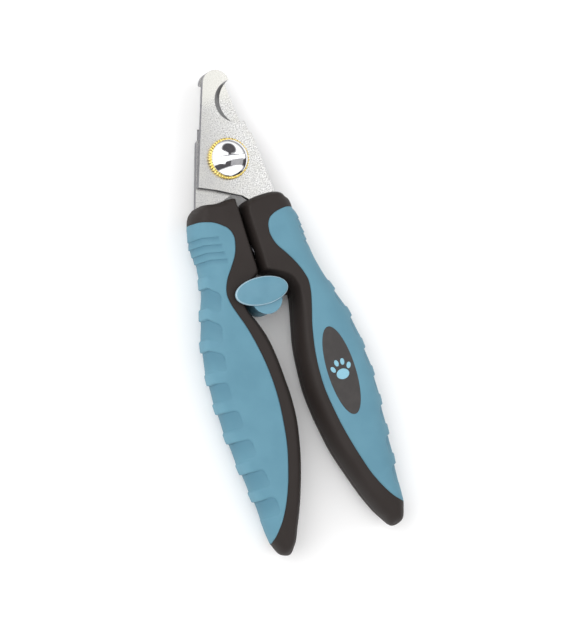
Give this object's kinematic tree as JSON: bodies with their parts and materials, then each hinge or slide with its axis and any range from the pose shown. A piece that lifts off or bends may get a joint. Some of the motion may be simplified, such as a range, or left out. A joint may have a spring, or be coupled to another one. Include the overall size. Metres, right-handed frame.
{
  "type": "pet nail trimmer",
  "caption": "Plier-style pet nail trimmer: two notched steel blades on a slotted pivot nut, sprung two-tone soft-grip handles and a sliding thumb lock.",
  "frame": {"origin": "middle of the tool's box, on the surface it lies on", "axes": "+Y along the handles' centre line towards the blade tips, +Z out of the tool's front, +X to the right seen from the front"},
  "size_m": [0.0579, 0.1688, 0.0202],
  "materials": {
    "blade_steel": "satin, bead blasted",
    "zinc_steel": "zinc plated",
    "brass_ring": "polished, toothed rim",
    "nut_chrome": "mirror polished",
    "dark_shell": "fine matte grain",
    "blue_grip": "soft matte rubber",
    "blue_button": "satin",
    "spring_steel": "drawn wire",
    "badge_dark": "satin",
    "motif_blue": "printed"
  },
  "bodies": {
    "left_half": {"rear_blade": "blade_steel", "left_front_shell": "dark_shell", "left_rear_shell": "dark_shell", "left_grip": "blue_grip", "left_handle_screws": "zinc_steel", "pivot_bolt": "zinc_steel", "rear_washer": "zinc_steel", "lock_washer": "brass_ring", "cap_nut": "nut_chrome", "return_spring": "spring_steel", "detent_spring": "spring_steel"},
    "right_half": {"front_blade": "blade_steel", "right_front_shell": "dark_shell", "right_rear_shell": "dark_shell", "right_grip": "blue_grip", "right_handle_screws": "zinc_steel", "badge_plate": "badge_dark", "badge_motif": "motif_blue"},
    "lock": {"lock_button": "blue_button", "lock_slide": "dark_shell", "lock_screw": "zinc_steel"}
  },
  "joints": [
    {"name": "handle_hinge", "type": "hinge", "parent": "left_half", "child": "right_half", "pos_m": [0.0019, 0.05361, 0.0087], "axis": [0, 0, 1], "range_deg": [0, 26], "deforming": ["return_spring"]},
    {"name": "lock_slide", "type": "slide", "parent": "left_half", "child": "lock", "axis": [0, 1, 0], "range_m": [0, 0.003]}
  ]
}
